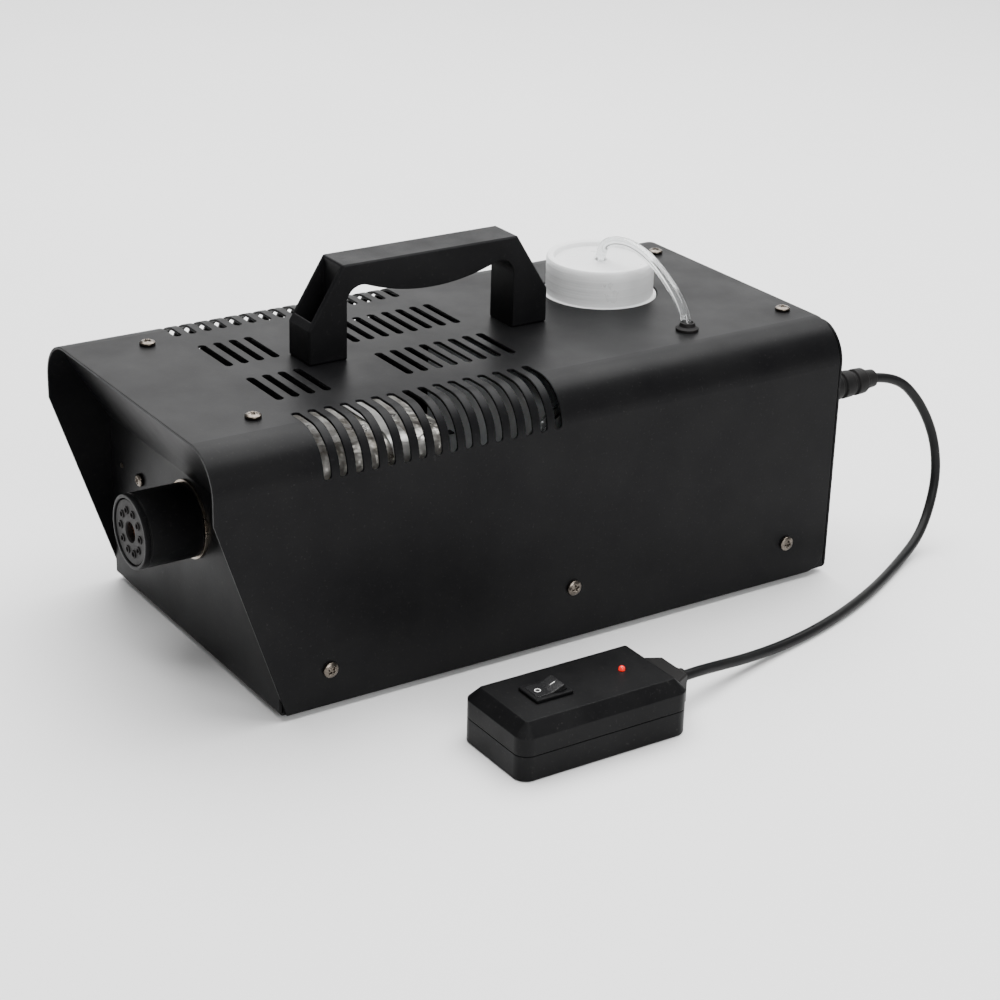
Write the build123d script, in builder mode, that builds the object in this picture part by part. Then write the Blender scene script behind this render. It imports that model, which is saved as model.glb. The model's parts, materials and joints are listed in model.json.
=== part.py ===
"""A fog machine: a sheet-steel housing with a heater, a pump and a fluid tank, and its wired remote.

Millimetres, +Z up. X = 0 is the middle of the housing, Y = 0 its middle in length, with the nozzle
at the -Y end, and Z = 0 is the surface that the feet and the remote stand on.
"""

import os
from math import radians, tan

from build123d import *

os.makedirs("parts", exist_ok=True)

# Housing
width = 174.0  # over the cover's side walls
half = width / 2
front = -172.0  # front edge of the cover's top
rear = 170.0  # rear edge of the cover
back = 173.0  # outside of the tray's rear panel
foot = 3.0  # height of the underside of the tray
top = foot + 130.0  # outside of the cover's top
sheet = 1.2  # thickness of the steel sheet
bend = 20.0  # outer radius of the cover's two long bends
kink = foot + 99.2  # the side walls' front edges lean back below this height
lean = 33.5  # how far back they reach at the bottom
tray_half = half - sheet - 0.2  # half width of the tray inside the cover
panel = front + 30.5  # outside of the recessed front panel
panel_kink = foot + 84.0  # the front panel leans forward above this height
lip_z = top - sheet  # underside of the cover's top

# Cooling slots
slot = 4.0
pitch = 8.0
bend_slots = 16
bend_slot_y = -57.3  # middle of the row of slots over each bend
bend_slot_x = 56.5  # inner ends of those slots
bend_slot_z = foot + 109.1  # lower ends of those slots
top_slot_x = 24.4  # middle of the slots beside the handle
top_slot_length = 31.3

# Screws
m4_head = 3.75
m4_hole = 2.15
m4_shank = 1.9
top_screws = [(x, y) for x in (-53.0, 53.0) for y in (-135.3, 159.8)]
side_screws = [(-116.7, foot + 17.7), (14.7, foot + 26.5), (144.2, foot + 19.9)]
panel_screw_x = 52.5
panel_rivet_x = 73.4

# Handle
handle_y = -18.3
handle_length = 131.0
handle_width = 20.0
handle_height = 45.8
handle_wall = 2.2
leg = 19.7  # length of each leg along Y
leg_front = 17.0  # height at which the handle's ends start to lean
leg_lean = 18.0

# Nozzle and heater
nozzle_z = foot + 62.8
nozzle_radius = 17.7
heater_front = -125.0
heater_length = 108.0
heater_half = 27.0
wrap = 5.0

# Tank and cap
tank_x = (-70.0, 62.0)
tank_y = (24.0, 138.0)
tank_top = 106.0
tank_floor = foot + sheet + 0.8
cap_x = -16.0
cap_y = 97.0
cap_radius = 27.3
cap_bottom = 129.0
cap_top = 151.5
neck_radius = 24.2
neck_top = 145.8
hose_radius = 2.5
hose_bore = 1.5
grommet = (53.5, 100.0)

# Pump
pump_x = 58.0
pump_z = 30.0
pump_y = -60.0  # middle of the coil
pump_bolts = 42.0

# Remote and its cable
remote_x = 162.0
remote_y = -34.75
remote_width = 48.0
remote_length = 89.5
remote_height = 26.5
remote_split = 12.4
remote_bevel = 5.5
remote_corner = 6.5
rocker_y = -51.6
led_y = -11.0
cable_radius = 2.5
relief = (72.5, 95.0)  # X and Z of the cable's exit from the rear panel
relief_tip = 206.0
collar_tip = 23.5
collar_z = 14.0

CENTRE_LOW = (Align.CENTER, Align.CENTER, Align.MIN)


def save(piece, name):
    """Label a finished piece and write its file."""
    piece.part.label = name
    export_step(piece.part, f"parts/{name}.step")


def bend_radii(points):
    """The largest arcs that fit the corners of a route of straight runs."""
    radii = []
    for before, corner, after in zip(points, points[1:], points[2:]):
        arriving = Vector(*corner) - Vector(*before)
        leaving = Vector(*after) - Vector(*corner)
        turn = radians(arriving.get_angle(leaving))
        radii.append(0.45 * min(arriving.length, leaving.length) / tan(turn / 2))
    return radii


def tube(points, radius, bore=0.0):
    """A round tube along straight runs joined by tangent arcs."""
    with BuildPart() as piece:
        with BuildLine() as route:
            FilletPolyline(*points, radius=bend_radii(points))
        with BuildSketch(Plane(origin=route.line @ 0, z_dir=route.line % 0)):
            Circle(radius)
            if bore:
                Circle(bore, mode=Mode.SUBTRACT)
        sweep()
    return piece.part


def pan_screw(head, shank, length):
    """A cross-head pan screw pointing down, with the underside of its head at the origin."""
    head_height = 0.62 * head
    with BuildPart() as piece:
        Cylinder(head, head_height, align=CENTRE_LOW)
        fillet(piece.edges().filter_by(GeomType.CIRCLE).group_by(Axis.Z)[-1], 0.55 * head_height)
        with BuildSketch(Plane.XY.offset(head_height)):
            Rectangle(1.1 * head, 0.26 * head)
            Rectangle(0.26 * head, 1.1 * head)
        extrude(amount=-0.6 * head_height, mode=Mode.SUBTRACT)
        with Locations((0, 0, -length)):
            Cylinder(shank, length, align=CENTRE_LOW)
    return piece.part


def ring(outer, inner, start, end, x, z):
    """A washer or sleeve about an axis along Y, from Y start to end."""
    with BuildPart() as piece:
        with BuildSketch(Plane.XZ.offset(-start)):
            with Locations((x, z)):
                Circle(outer)
                if inner:
                    Circle(inner, mode=Mode.SUBTRACT)
        extrude(amount=start - end)
    return piece.part


# Cover: one sheet bent over the top and both sides, with its front corners cut back

with BuildPart() as cover:
    with BuildSketch(Plane.XZ.offset(-front)):
        with Locations((0, foot)):
            Rectangle(width, top - foot, align=(Align.CENTER, Align.MIN))
        fillet(vertices().group_by(Axis.Y)[-1], bend)
    extrude(amount=front - rear)
    with BuildSketch(Plane.XZ.offset(-front)):
        with Locations((0, foot)):
            Rectangle(width - 2 * sheet, lip_z - foot, align=(Align.CENTER, Align.MIN))
        fillet(vertices().group_by(Axis.Y)[-1], bend - sheet)
    extrude(amount=front - rear, mode=Mode.SUBTRACT)
    with BuildSketch(Plane.YZ):
        Polygon((front, kink), (front, foot), (front + lean, foot), align=None)
    extrude(amount=half, both=True, mode=Mode.SUBTRACT)
    fillet(edges().filter_by(Axis.X).group_by(Axis.Z)[0].group_by(Axis.Y)[-1], 11)

    with BuildSketch(Plane.XY.offset(top + 1)):
        with Locations((0, bend_slot_y)):
            with GridLocations(2 * bend_slot_x + 40, pitch, 2, bend_slots):
                SlotOverall(40, slot)
    extrude(amount=bend_slot_z + 6 - top, mode=Mode.SUBTRACT)
    for side in (-1, 1):
        with BuildSketch(Plane.YZ.offset(side * half)):
            with Locations((bend_slot_y, bend_slot_z + 8)):
                with GridLocations(pitch, 1, bend_slots, 1):
                    SlotOverall(16, slot, rotation=90)
        extrude(amount=10, both=True, mode=Mode.SUBTRACT)

    with BuildSketch(Plane.XY.offset(top + 1)):
        with Locations((0, -102.5)):
            with GridLocations(2 * top_slot_x, pitch, 2, 4):
                SlotOverall(top_slot_length, slot)
        with Locations((0, -19.5)):
            with GridLocations(2 * top_slot_x, pitch, 2, 8):
                SlotOverall(top_slot_length, slot)
        with Locations(*top_screws):
            Circle(m4_hole)
        with Locations((cap_x, cap_y)):
            Circle(cap_radius + 2.2)
        with Locations(grommet):
            Circle(4.3)
        with Locations((0, handle_y)):
            with GridLocations(1, handle_length - leg, 1, 2):
                Circle(m4_hole)
    extrude(amount=-4, mode=Mode.SUBTRACT)
    with BuildSketch(Plane.YZ):
        with Locations(*side_screws):
            Circle(m4_hole)
    extrude(amount=half + 1, both=True, mode=Mode.SUBTRACT)
save(cover, "cover")

# Base tray: floor, front panel, rear panel and low side flanges folded from one sheet

with BuildPart() as base_tray:
    with BuildSketch(Plane.YZ):
        with BuildLine():
            FilletPolyline(
                (front + 48, lip_z),
                (front + 3, lip_z),
                (panel, panel_kink),
                (panel, foot),
                (back, foot),
                (back, lip_z),
                (back - 24, lip_z),
                radius=2.0,
            )
            offset(amount=sheet, side=Side.LEFT)
        make_face()
    extrude(amount=tray_half, both=True)
    with BuildSketch(Plane.XZ.offset(-front)):
        with Locations((0, foot)):
            Rectangle(2 * tray_half, lip_z - foot, align=(Align.CENTER, Align.MIN))
        fillet(vertices().group_by(Axis.Y)[-1], bend - sheet + 0.3)
    extrude(amount=front - back, mode=Mode.INTERSECT)
    for side in (-1, 1):
        with Locations((side * (tray_half - sheet / 2), (panel + back) / 2, foot)):
            Box(sheet, back - panel - 4, 36, align=CENTRE_LOW)
    with BuildSketch(Plane.XZ.offset(-panel)):
        with Locations((0, nozzle_z)):
            Circle(11)
            with GridLocations(2 * panel_screw_x, 1, 2, 1):
                Circle(m4_shank + 0.1)
            with GridLocations(2 * panel_rivet_x, 1, 2, 1):
                Circle(1.2)
    extrude(amount=5, both=True, mode=Mode.SUBTRACT)
    with BuildSketch(Plane.XZ.offset(-back)):
        with Locations(relief):
            Circle(6.2)
        with Locations((-45, 48)):
            Rectangle(27.4, 20.4)
            with GridLocations(40, 1, 2, 1):
                Circle(1.6)
    extrude(amount=5, both=True, mode=Mode.SUBTRACT)
    with BuildSketch(Plane.XY.offset(lip_z)):
        with Locations(*top_screws):
            Circle(m4_shank + 0.1)
    extrude(amount=5, both=True, mode=Mode.SUBTRACT)
    with BuildSketch(Plane.YZ):
        with Locations(*side_screws):
            Circle(m4_shank + 0.1)
    extrude(amount=half, both=True, mode=Mode.SUBTRACT)
    with BuildSketch(Plane.XY.offset(foot)):
        with Locations((0, 15)):
            with GridLocations(140, 280, 2, 2):
                Circle(2.1)
        with Locations((0, heater_front + heater_length / 2)):
            with GridLocations(50, 80, 2, 2):
                Circle(m4_shank + 0.1)
        with Locations((pump_x, pump_y)):
            with GridLocations(1, pump_bolts, 1, 2):
                Circle(m4_shank + 0.1)
    extrude(amount=5, both=True, mode=Mode.SUBTRACT)
save(base_tray, "base_tray")

with BuildPart() as rubber_feet:
    with Locations((0, 15)):
        with GridLocations(140, 280, 2, 2):
            Cylinder(7.5, foot, align=CENTRE_LOW)
            Cylinder(2.0, foot + sheet + 0.6, align=CENTRE_LOW)
            with Locations((0, 0, foot + sheet + 0.1)):
                Cylinder(3.4, 1.8, align=CENTRE_LOW)
            Cylinder(2.5, 1.2, align=CENTRE_LOW, mode=Mode.SUBTRACT)
    fillet(edges().filter_by(GeomType.CIRCLE).filter_by(lambda e: e.radius > 7).group_by(Axis.Z)[0], 1)
save(rubber_feet, "rubber_feet")

# Fasteners of the housing

housing_screw = pan_screw(m4_head, m4_shank, 8)

with BuildPart() as top_cover_screws:
    with Locations(*((x, y, top) for x, y in top_screws)):
        add(housing_screw)
save(top_cover_screws, "top_cover_screws")

with BuildPart() as side_cover_screws:
    for side in (-1, 1):
        with Locations(*(Location((side * half, y, z), (0, side * 90, 0)) for y, z in side_screws)):
            add(housing_screw)
save(side_cover_screws, "side_cover_screws")

with BuildPart() as front_panel_screws:
    for side in (-1, 1):
        with Locations(Location((side * panel_screw_x, panel, nozzle_z), (90, 0, 0))):
            add(housing_screw)
save(front_panel_screws, "front_panel_screws")

with BuildPart() as panel_rivets:
    for side in (-1, 1):
        with Locations(Location((side * panel_rivet_x, panel, nozzle_z), (90, 0, 0))):
            Cylinder(1.3, 0.6, align=CENTRE_LOW)
            Cylinder(1.15, 3, align=(Align.CENTER, Align.CENTER, Align.MAX))
save(panel_rivets, "panel_rivets")

# Handle: a moulded grip with two hollow legs that lean at their open ends

with BuildPart() as handle:
    end = handle_length / 2
    with BuildSketch(Plane.YZ):
        with Locations((handle_y, top)):
            Polygon(
                (-end, 0),
                (-end, leg_front),
                (leg_lean - end, handle_height),
                (end - leg_lean, handle_height),
                (end, leg_front),
                (end, 0),
                align=None,
            )
    extrude(amount=handle_width / 2, both=True)
    fillet(edges().filter_by(Axis.X), 1.2)
    chamfer(faces().filter_by(Axis.X).edges(), 0.8)
    with BuildSketch(Plane.YZ):
        grip = end - leg
        with BuildLine():
            Polyline(
                (handle_y + grip, top + 39.5),
                (handle_y + grip, top - 1),
                (handle_y - grip, top - 1),
                (handle_y - grip, top + 39.5),
            )
            ThreePointArc(
                (handle_y - grip, top + 39.5),
                (handle_y, top + 28.3),
                (handle_y + grip, top + 39.5),
            )
        make_face()
        fillet(vertices().group_by(Axis.Y)[-1], 8)
    extrude(amount=handle_width, both=True, mode=Mode.SUBTRACT)
    with Locations((0, handle_y, top + 3)):
        with GridLocations(1, handle_length - leg, 1, 2):
            Box(
                handle_width - 2 * handle_wall,
                leg - 2 * handle_wall,
                handle_height,
                align=CENTRE_LOW,
                mode=Mode.SUBTRACT,
            )
            Cylinder(4.2, 7, align=CENTRE_LOW)
    with Locations((0, handle_y, top)):
        with GridLocations(1, handle_length - leg, 1, 2):
            Cylinder(2.0, 11, align=(Align.CENTER, Align.CENTER, Align.CENTER), mode=Mode.SUBTRACT)
save(handle, "handle")

with BuildPart() as handle_screws:
    with Locations(Location((0, handle_y, lip_z), (180, 0, 0))):
        with GridLocations(1, handle_length - leg, 1, 2):
            add(pan_screw(m4_head, m4_shank, 6))
save(handle_screws, "handle_screws")

# Fluid tank, its strap, its screw cap and the suction hose

with BuildPart() as fluid_tank:
    low = (tank_x[0], tank_y[0], tank_floor)
    with Locations(low):
        Box(tank_x[1] - tank_x[0], tank_y[1] - tank_y[0], tank_top - tank_floor, align=(Align.MIN,) * 3)
    fillet(edges().filter_by(Axis.Z), 12)
    fillet(faces().filter_by(Axis.Z).edges(), 5)
    with Locations((cap_x, cap_y, tank_top - 1)):
        Cylinder(neck_radius, neck_top - tank_top + 1, align=CENTRE_LOW)
    with Locations(tuple(value + 2 for value in low)):
        Box(
            tank_x[1] - tank_x[0] - 4,
            tank_y[1] - tank_y[0] - 4,
            tank_top - tank_floor - 4,
            align=(Align.MIN,) * 3,
            mode=Mode.SUBTRACT,
        )
    with Locations((cap_x, cap_y, tank_top - 3)):
        Cylinder(neck_radius - 2.4, neck_top - tank_top + 4, align=CENTRE_LOW, mode=Mode.SUBTRACT)
save(fluid_tank, "fluid_tank")

strap_y = 44.0
strap_foot = 8.0
with BuildPart() as tank_strap:
    with BuildSketch(Plane.XZ.offset(-strap_y)):
        with BuildLine():
            FilletPolyline(
                (tank_x[0] - 2 - strap_foot, foot + sheet),
                (tank_x[0] - 2, foot + sheet),
                (tank_x[0] - 2, tank_top + 1.6),
                (tank_x[1] + 2, tank_top + 1.6),
                (tank_x[1] + 2, foot + sheet),
                (tank_x[1] + 2 + strap_foot, foot + sheet),
                radius=1.6,
            )
            offset(amount=1, side=Side.LEFT)
        make_face()
    extrude(amount=-14)
save(tank_strap, "tank_strap")

with BuildPart() as filler_cap:
    with BuildSketch(Plane.XZ.offset(-cap_y)):
        with BuildLine():
            Polyline(
                (cap_x + hose_radius + 0.3, cap_top - 2),
                (cap_x + cap_radius - 3.6, cap_top - 2),
                (cap_x + cap_radius - 2.6, cap_top),
                (cap_x + cap_radius, cap_top),
                (cap_x + cap_radius, cap_bottom),
                (cap_x + cap_radius - 2, cap_bottom),
                (cap_x + cap_radius - 2, cap_top - 4),
                (cap_x + hose_radius + 0.3, cap_top - 4),
                close=True,
            )
        make_face()
        fillet(vertices().group_by(Axis.Y)[-1], 1.1)
    revolve(axis=Axis((cap_x, cap_y, 0), (0, 0, 1)))
save(filler_cap, "filler_cap")

seal_low = neck_top + 0.2
with BuildPart() as cap_seal:
    with Locations((cap_x, cap_y, seal_low)):
        Cylinder(cap_radius - 2.5, cap_top - 4.1 - seal_low, align=CENTRE_LOW)
        Cylinder(hose_radius, 4, align=CENTRE_LOW, mode=Mode.SUBTRACT)
save(cap_seal, "cap_seal")

hose_start = cap_top - 1.7
with BuildPart() as dip_tube:
    with Locations((cap_x, cap_y, tank_floor + 6)):
        Cylinder(hose_radius, hose_start - tank_floor - 6, align=CENTRE_LOW)
        Cylinder(hose_bore, hose_start - tank_floor - 6, align=CENTRE_LOW, mode=Mode.SUBTRACT)
save(dip_tube, "dip_tube")

hose_route = [
    (cap_x, cap_y, hose_start),
    (cap_x + 1, cap_y, 157.0),
    (cap_x + 9, cap_y + 0.4, 161.8),
    (cap_x + 23, cap_y + 1.0, 164.0),
    (cap_x + 38, cap_y + 1.6, 161.3),
    (cap_x + 52, cap_y + 2.3, 154.0),
    (cap_x + 63.5, cap_y + 2.8, 145.0),
    (grommet[0], grommet[1], 137.0),
    (grommet[0], grommet[1], 130.5),
]
with BuildPart() as intake_hose:
    add(tube(hose_route, hose_radius, hose_bore))
save(intake_hose, "intake_hose")

with BuildPart() as hose_grommet:
    with BuildSketch(Plane.XZ.offset(-grommet[1])):
        with BuildLine():
            Polyline(
                (grommet[0] + hose_radius + 0.3, top - 3.4),
                (grommet[0] + 5.2, top - 3.4),
                (grommet[0] + 5.2, lip_z),
                (grommet[0] + 4.2, lip_z),
                (grommet[0] + 4.2, top),
                (grommet[0] + 5.6, top),
                (grommet[0] + 5.6, top + 1.2),
                (grommet[0] + 4.0, top + 2.2),
                (grommet[0] + 3.6, top + 4.0),
                (grommet[0] + hose_radius + 0.3, top + 4.0),
                close=True,
            )
        make_face()
    revolve(axis=Axis((*grommet, 0), (0, 0, 1)))
save(hose_grommet, "hose_grommet")

# Pump: a solenoid plunger pump lying along Y

pump_rear = pump_y + 40
feed_route = [
    (*grommet, 127.0),
    (grommet[0], grommet[1] - 3, 117.0),
    (grommet[0] + 1, 70.0, 114.5),
    (grommet[0] + 3, 30.0, 112.0),
    (grommet[0] + 5, 4.0, 96.0),
    (pump_x + 4, -1.0, 66.0),
    (pump_x + 2, 2.0, 40.0),
    (pump_x, -8.0, pump_z),
    (pump_x, pump_rear + 2, pump_z),
]
with BuildPart() as feed_hose:
    add(tube(feed_route, hose_radius, hose_bore))
save(feed_hose, "feed_hose")

with BuildPart() as pump_body:
    with BuildSketch(Plane.YZ.offset(pump_x)):
        with BuildLine():
            Polyline(
                (pump_y - 34, pump_z),
                (pump_y - 34, pump_z + 9),
                (pump_y - 21, pump_z + 9),
                (pump_y - 21, pump_z + 7.5),
                (pump_y + 21, pump_z + 7.5),
                (pump_y + 21, pump_z + 11),
                (pump_y + 30, pump_z + 11),
                (pump_y + 30, pump_z + 4),
                (pump_y + 40, pump_z + 4),
                (pump_y + 40, pump_z),
                close=True,
            )
        make_face()
    revolve(axis=Axis((pump_x, 0, pump_z), (0, 1, 0)))
    with BuildSketch(Plane.XZ.offset(22 - pump_y)):
        with Locations((pump_x, pump_z)):
            Circle(6)
    extrude(amount=-46, mode=Mode.SUBTRACT)
    with BuildSketch(Plane.XZ.offset(40 - pump_y)):
        with Locations((pump_x, pump_z)):
            Circle(1.6)
    extrude(amount=-80, mode=Mode.SUBTRACT)
save(pump_body, "pump_body")

with BuildPart() as pump_coil:
    add(ring(19, 7.8, pump_y - 15, pump_y + 15, pump_x, pump_z))
    for spade_x in (pump_x - 6, pump_x + 6):
        with Locations((spade_x, pump_y - 8, pump_z + 18)):
            Box(5, 0.8, 9, align=CENTRE_LOW)
save(pump_coil, "pump_coil")

with BuildPart() as pump_yoke:
    with Locations((pump_x, pump_y, pump_z)):
        Box(44, 36, 30)
        Box(41, 33, 31, mode=Mode.SUBTRACT)
    with BuildSketch(Plane.XZ.offset(20 - pump_y)):
        with Locations((pump_x, pump_z)):
            Circle(7.8)
    extrude(amount=-40, mode=Mode.SUBTRACT)
save(pump_yoke, "pump_yoke")

with BuildPart() as pump_plunger:
    add(ring(5.94, 1.5, pump_y - 12, pump_y + 16, pump_x, pump_z))
save(pump_plunger, "pump_plunger")

with BuildPart() as pump_spring:
    with BuildLine() as coil:
        Helix(pitch=2.2, height=7.7, radius=4.6, center=(0, 0, 0))
    with BuildSketch(Plane(origin=coil.line @ 0, z_dir=coil.line % 0)):
        Circle(0.5)
    sweep(is_frenet=True)
pump_spring.part.location = Location((pump_x, pump_y - 12.85, pump_z), (90, 0, 0))
save(pump_spring, "pump_spring")

with BuildPart() as pump_outlet:
    add(ring(4.5, 1.4, pump_y - 44, pump_y - 34, pump_x, pump_z))
    with BuildSketch(Plane.XZ.offset(40 - pump_y)):
        with Locations((pump_x, pump_z)):
            RegularPolygon(6.5, 6)
            Circle(1.4, mode=Mode.SUBTRACT)
    extrude(amount=-6)
save(pump_outlet, "pump_outlet")

bracket_low = foot + sheet
with BuildPart() as pump_bracket:
    with Locations((pump_x, pump_y, bracket_low)):
        Box(24, 58, 1.5, align=CENTRE_LOW)
    for end in (-27, 27):
        with Locations((pump_x, pump_y + end, bracket_low)):
            Box(24, 1.5, pump_z - bracket_low + 12, align=CENTRE_LOW)
    with BuildSketch(Plane.XZ.offset(40 - pump_y)):
        with Locations((pump_x, pump_z)):
            Circle(11.2)
    extrude(amount=-80, mode=Mode.SUBTRACT)
    with BuildSketch(Plane.XY.offset(bracket_low)):
        with Locations((pump_x, pump_y)):
            with GridLocations(1, pump_bolts, 1, 2):
                Circle(m4_hole)
    extrude(amount=3, mode=Mode.SUBTRACT)
save(pump_bracket, "pump_bracket")

# Heater block, its insulation and what is fixed to it

heater_rear = heater_front + heater_length
with BuildPart() as heater_block:
    with BuildSketch(Plane.XZ.offset(-heater_front)):
        with Locations((0, nozzle_z)):
            RectangleRounded(2 * heater_half, 2 * heater_half, 10)
    extrude(amount=-heater_length)
    with BuildSketch(Plane.XZ.offset(-heater_front)):
        with Locations((0, nozzle_z)):
            Circle(4.0)
    extrude(amount=-12, mode=Mode.SUBTRACT)
    with BuildSketch(Plane.XZ.offset(-heater_rear)):
        with Locations((0, nozzle_z - 16)):
            Circle(1.6)
    extrude(amount=8, mode=Mode.SUBTRACT)
save(heater_block, "heater_block")

with BuildPart() as heater_wrap:
    with BuildSketch(Plane.XZ.offset(-heater_front - 4)):
        with Locations((0, nozzle_z)):
            RectangleRounded(2 * (heater_half + wrap), 2 * (heater_half + wrap), 14)
            RectangleRounded(2 * heater_half + 0.2, 2 * heater_half + 0.2, 10, mode=Mode.SUBTRACT)
    extrude(amount=8 - heater_length)
save(heater_wrap, "heater_wrap")

strap_half = heater_half + wrap
with BuildPart() as wrap_straps:
    for y in (heater_front + 22, heater_rear - 34):
        with BuildSketch(Plane.XZ.offset(-y)):
            with Locations((0, nozzle_z)):
                RectangleRounded(2 * strap_half + 1.6, 2 * strap_half + 1.6, 14.8)
                RectangleRounded(2 * strap_half + 0.4, 2 * strap_half + 0.4, 14.2, mode=Mode.SUBTRACT)
        extrude(amount=-10)
save(wrap_straps, "wrap_straps")

saddle_top = nozzle_z - strap_half - 1
with BuildPart() as heater_brackets:
    with Locations((0, heater_front + heater_length / 2, bracket_low)):
        with GridLocations(1, 80, 1, 2):
            Box(64, 16, 1.5, align=CENTRE_LOW)
            with Locations((0, 0, saddle_top - 1.5 - bracket_low)):
                Box(44, 16, 1.5, align=CENTRE_LOW)
            with GridLocations(40, 1, 2, 1):
                Box(1.5, 16, saddle_top - bracket_low, align=CENTRE_LOW)
    with BuildSketch(Plane.XY.offset(bracket_low)):
        with Locations((0, heater_front + heater_length / 2)):
            with GridLocations(50, 80, 2, 2):
                Circle(m4_hole)
    extrude(amount=3, mode=Mode.SUBTRACT)
save(heater_brackets, "heater_brackets")

with BuildPart() as bracket_screws:
    bracket_screw = pan_screw(3.6, m4_shank, 5.5)
    with Locations((0, heater_front + heater_length / 2, bracket_low + 1.5)):
        with GridLocations(50, 80, 2, 2):
            add(bracket_screw)
    with Locations((pump_x, pump_y, bracket_low + 1.5)):
        with GridLocations(1, pump_bolts, 1, 2):
            add(bracket_screw)
save(bracket_screws, "bracket_screws")

with BuildPart() as heater_terminals:
    for x in (-14, 14):
        add(ring(4, 0, heater_rear, heater_rear + 5, x, nozzle_z + 4))
        add(ring(1.6, 0, heater_rear + 5, heater_rear + 14, x, nozzle_z + 4))
save(heater_terminals, "heater_terminals")

with BuildPart() as thermostat:
    add(ring(8, 0, heater_rear, heater_rear + 6, 0, nozzle_z + 17))
    add(ring(5.5, 0, heater_rear + 6, heater_rear + 10, 0, nozzle_z + 17))
    for x in (-4, 4):
        with Locations((x, heater_rear + 12, nozzle_z + 17)):
            Box(4, 6, 0.8)
save(thermostat, "thermostat")

with BuildPart() as thermal_fuse:
    with Locations(Location((0, heater_rear + 2.3, nozzle_z - 6), (0, 90, 0))):
        Cylinder(2, 11)
        Cylinder(0.6, 22)
save(thermal_fuse, "thermal_fuse")

# Nozzle: a black shroud over a jet, closed by a perforated face

with BuildPart() as nozzle_shroud:
    add(ring(nozzle_radius, nozzle_radius - 1.8, front, panel - 1.2, 0, nozzle_z))
    fillet(edges().filter_by(GeomType.CIRCLE).group_by(Axis.Y)[0].sort_by(SortBy.RADIUS)[-1], 0.8)
    with BuildSketch(Plane.XZ.offset(-front - 2.6)):
        with Locations((0, nozzle_z)):
            Circle(nozzle_radius + 1)
            Circle(nozzle_radius - 0.5, mode=Mode.SUBTRACT)
    extrude(amount=-0.8, mode=Mode.SUBTRACT)
save(nozzle_shroud, "nozzle_shroud")

with BuildPart() as nozzle_ring:
    add(ring(nozzle_radius + 1.1, 11.5, panel - 1.2, panel, 0, nozzle_z))
save(nozzle_ring, "nozzle_ring")

with BuildPart() as nozzle_face:
    with BuildSketch(Plane.XZ.offset(-front - 0.6)):
        with Locations((0, nozzle_z)):
            Circle(nozzle_radius - 1.9)
            Circle(4.6, mode=Mode.SUBTRACT)
            with PolarLocations(10.2, 10):
                Circle(1.2, mode=Mode.SUBTRACT)
    extrude(amount=-3)
    chamfer(edges().filter_by(GeomType.CIRCLE).filter_by(lambda e: e.radius > 4).group_by(Axis.Y)[0], 0.6)
save(nozzle_face, "nozzle_face")

with BuildPart() as nozzle_jet:
    add(ring(4.4, 1.5, front + 3.5, heater_front - 8, 0, nozzle_z))
    add(ring(7.5, 1.5, heater_front - 8, heater_front - 0.1, 0, nozzle_z))
    add(ring(3.9, 1.5, heater_front - 0.1, heater_front + 10, 0, nozzle_z))
save(nozzle_jet, "nozzle_jet")

# Hard pipe from the pump to the heater

pipe_y = pump_y - 44
pipe_route = [
    (pump_x, pipe_y, pump_z),
    (pump_x, pipe_y - 12, pump_z),
    (pump_x - 16, pipe_y - 17, 19),
    (25, pipe_y - 8, 15),
    (20, pipe_y + 32, 15),
    (10, pipe_y + 70, 15),
    (3, heater_rear + 16, 24),
    (0, heater_rear + 14, nozzle_z - 16),
    (0, heater_rear, nozzle_z - 16),
]
with BuildPart() as feed_pipe:
    add(tube(pipe_route, 1.5, 0.8))
save(feed_pipe, "feed_pipe")

# Mains inlet in the rear panel, and the wiring inside

inlet_x = -45.0
inlet_z = 48.0
with BuildPart() as mains_inlet:
    with BuildSketch(Plane.XZ.offset(-back - 3)):
        with Locations((inlet_x, inlet_z)):
            RectangleRounded(49, 23, 3)
    extrude(amount=3)
    with BuildSketch(Plane.XZ.offset(-back)):
        with Locations((inlet_x, inlet_z)):
            Rectangle(27, 20)
    extrude(amount=17)
    with BuildSketch(Plane.XZ.offset(-back - 3)):
        with Locations((inlet_x, inlet_z)):
            Rectangle(23.6, 16)
            chamfer(vertices().group_by(Axis.Y)[-1], 4)
    extrude(amount=17, mode=Mode.SUBTRACT)
    with BuildSketch(Plane.XZ.offset(-back - 3)):
        with Locations((inlet_x, inlet_z)):
            with GridLocations(40, 1, 2, 1):
                Circle(1.6)
    extrude(amount=4, mode=Mode.SUBTRACT)
    with BuildSketch(Plane.XZ.offset(17 - back)):
        with Locations((inlet_x, inlet_z)):
            with Locations((-7, -2), (0, 2), (7, -2)):
                Rectangle(2.2, 4.2)
    extrude(amount=-4, mode=Mode.SUBTRACT)
save(mains_inlet, "mains_inlet")

with BuildPart() as inlet_pins:
    with BuildSketch(Plane.XZ.offset(-back + 24)):
        with Locations((inlet_x, inlet_z)):
            with Locations((-7, -2), (0, 2), (7, -2)):
                Rectangle(2, 4)
    extrude(amount=-24)
save(inlet_pins, "inlet_pins")

with BuildPart() as inlet_screws:
    for side in (-20, 20):
        with Locations(Location((inlet_x + side, back + 3, inlet_z), (-90, 0, 0))):
            add(pan_screw(2.8, 1.5, 8))
save(inlet_screws, "inlet_screws")

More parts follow.
